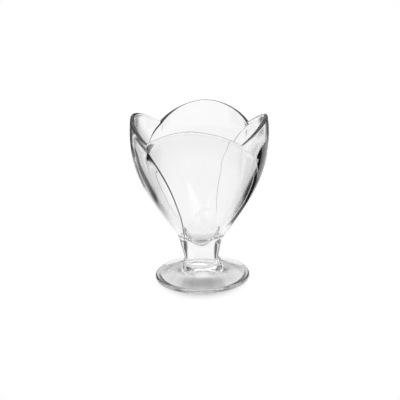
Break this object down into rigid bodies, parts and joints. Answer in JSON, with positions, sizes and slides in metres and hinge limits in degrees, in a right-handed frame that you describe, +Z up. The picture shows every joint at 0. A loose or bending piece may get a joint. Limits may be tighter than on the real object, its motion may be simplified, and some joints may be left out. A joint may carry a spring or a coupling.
{
  "type": "parfait glass",
  "caption": "Clear pressed-glass parfait cup: tulip bowl of lapped petals with an arched rim, short square stem in a round collar, and a round foot, hollow underneath, to stand on",
  "frame": {"origin": "centre of the foot, on the surface that the glass stands on", "axes": "+Z up the glass's axis; -Y through the middle of the front petal; +X through the middle of the petal on its right"},
  "size_m": [0.105, 0.105, 0.131],
  "materials": {
    "bowl_glass": "clear fire-polished glass",
    "stem_glass": "clear fire-polished glass",
    "foot_glass": "clear fire-polished glass"
  },
  "bodies": {
    "root": {"bowl": "bowl_glass", "stem": "stem_glass", "foot": "foot_glass"}
  },
  "joints": []
}
